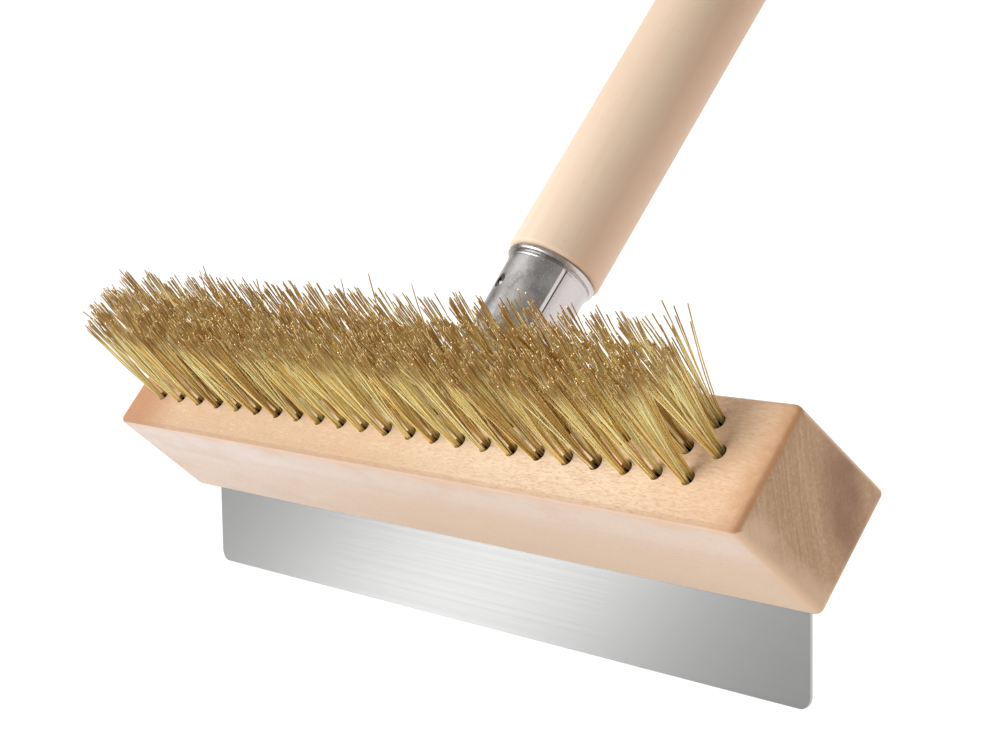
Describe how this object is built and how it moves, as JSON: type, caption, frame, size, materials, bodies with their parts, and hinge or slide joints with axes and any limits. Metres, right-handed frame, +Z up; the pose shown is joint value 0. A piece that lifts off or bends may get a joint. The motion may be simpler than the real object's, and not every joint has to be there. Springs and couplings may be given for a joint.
{
  "type": "grill cleaning brush",
  "caption": "Long-handled wire brush with a wooden block head, a bent steel scraper and a straight wooden handle in a conical metal socket.",
  "frame": {"origin": "on the surface that the brush lies on, under the middle of its bounding box", "axes": "+Y runs along the handle from the head to the far end, +Z is up and the way the bristles point, and X runs along the head block"},
  "size_m": [0.268, 0.9936, 0.0873],
  "materials": {
    "beech_block": "bare sanded beech with fine flecks and browner end grain",
    "handle_wood": "smooth pale hardwood dowel",
    "brass_wire": "drawn wire, semi-bright",
    "anchor_steel": "bright flat wire",
    "scraper_steel": "fine brushing along the blade",
    "galvanised_sheet": "mottled galvanised sheet",
    "zinc_screw": "bright zinc plate"
  },
  "bodies": {
    "root": {"head_block": "beech_block", "handle": "handle_wood", "scraper": "scraper_steel", "socket": "galvanised_sheet", "socket_base": "galvanised_sheet", "bristles_front_row": "brass_wire", "bristles_middle_row": "brass_wire", "bristles_rear_row": "brass_wire", "anchors_front_row": "anchor_steel", "anchors_middle_row": "anchor_steel", "anchors_rear_row": "anchor_steel", "scraper_screw_1": "zinc_screw", "scraper_screw_2": "zinc_screw", "scraper_screw_3": "zinc_screw", "scraper_screw_4": "zinc_screw", "socket_base_screw_1": "zinc_screw", "socket_base_screw_2": "zinc_screw", "handle_screw": "zinc_screw"}
  },
  "joints": []
}
